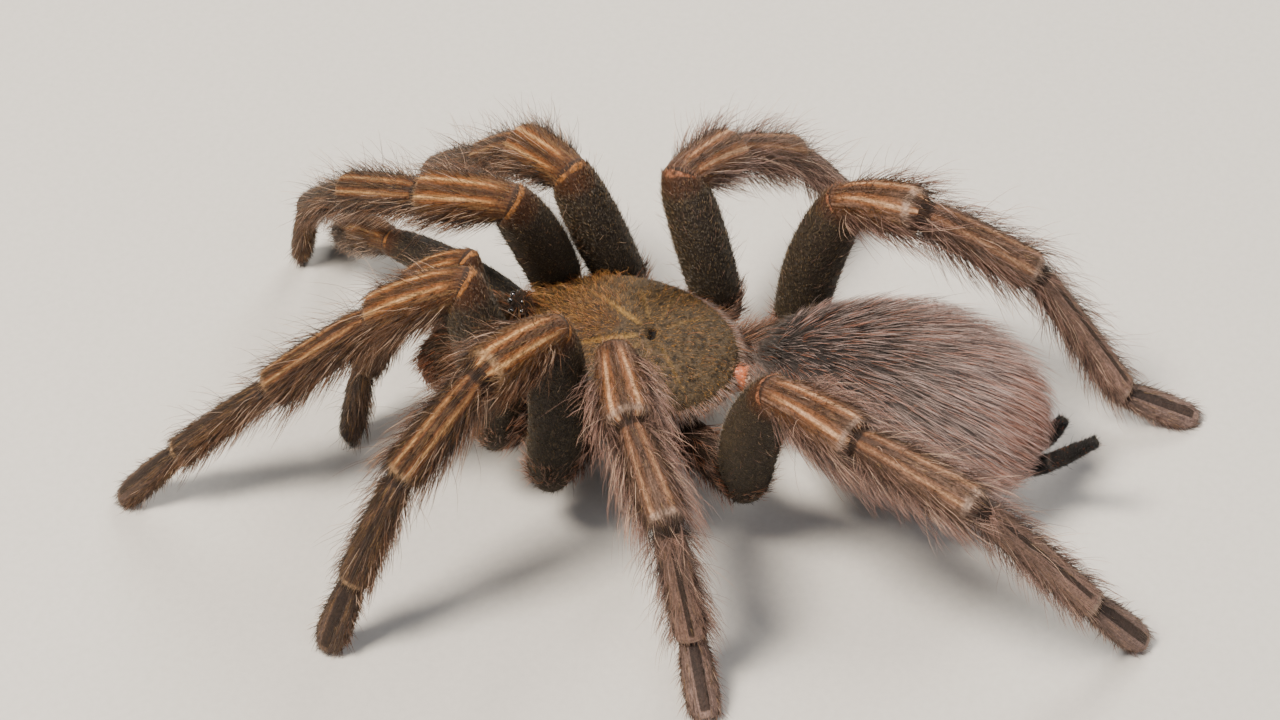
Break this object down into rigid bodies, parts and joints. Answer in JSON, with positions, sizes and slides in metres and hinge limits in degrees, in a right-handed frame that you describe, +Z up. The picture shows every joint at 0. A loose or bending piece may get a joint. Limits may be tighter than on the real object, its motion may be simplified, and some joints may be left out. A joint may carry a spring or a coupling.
{
  "type": "tarantula",
  "caption": "Still, life-size model of a large hairy ground tarantula standing on its feet, knees raised high, with striped knees and a rounded pinkish brown abdomen.",
  "frame": {"origin": "on the floor, under the middle of the whole animal's bounding box", "axes": "+Z up; the head looks along -Y and the abdomen lies towards +Y; +X is the animal's left side"},
  "size_m": [0.1124, 0.1402, 0.0412],
  "materials": {
    "shield": "short flat velvety hair, olive brown with fine golden lines",
    "underside": "short dark brown hair with an orange fringe",
    "abdomen": "long soft pinkish brown hair over dark skin",
    "jaw": "short dark hair",
    "fang": "smooth black horn",
    "spinneret": "matt black velvet",
    "eye": "wet black",
    "femur": "very short olive grey hair, almost smooth",
    "banded_leg": "brown hair with lengthwise cream stripes and long loose hairs",
    "foot": "mauve brown hair, dense and short"
  },
  "bodies": {
    "root": {"carapace": "shield", "underside": "underside", "pedicel": "underside", "abdomen": "abdomen", "left_chelicera": "jaw", "left_fang": "fang", "left_spinneret": "spinneret", "left_eye_front_middle": "eye", "left_eye_front_side": "eye", "left_eye_rear_side": "eye", "left_eye_rear_middle": "eye", "right_chelicera": "jaw", "right_fang": "fang", "right_spinneret": "spinneret", "right_eye_front_middle": "eye", "right_eye_front_side": "eye", "right_eye_rear_side": "eye", "right_eye_rear_middle": "eye", "left_leg_1_femur": "femur", "left_leg_1_patella": "banded_leg", "left_leg_1_tibia": "banded_leg", "left_leg_1_foot": "foot", "left_leg_2_femur": "femur", "left_leg_2_patella": "banded_leg", "left_leg_2_tibia": "banded_leg", "left_leg_2_foot": "foot", "left_leg_3_femur": "femur", "left_leg_3_patella": "banded_leg", "left_leg_3_tibia": "banded_leg", "left_leg_3_foot": "foot", "left_leg_4_femur": "femur", "left_leg_4_patella": "banded_leg", "left_leg_4_tibia": "banded_leg", "left_leg_4_foot": "foot", "right_leg_1_femur": "femur", "right_leg_1_patella": "banded_leg", "right_leg_1_tibia": "banded_leg", "right_leg_1_foot": "foot", "right_leg_2_femur": "femur", "right_leg_2_patella": "banded_leg", "right_leg_2_tibia": "banded_leg", "right_leg_2_foot": "foot", "right_leg_3_femur": "femur", "right_leg_3_patella": "banded_leg", "right_leg_3_tibia": "banded_leg", "right_leg_3_foot": "foot", "right_leg_4_femur": "femur", "right_leg_4_patella": "banded_leg", "right_leg_4_tibia": "banded_leg", "right_leg_4_foot": "foot", "left_palp_femur": "femur", "left_palp_tibia": "banded_leg", "left_palp_tarsus": "foot", "right_palp_femur": "femur", "right_palp_tibia": "banded_leg", "right_palp_tarsus": "foot"}
  },
  "joints": []
}
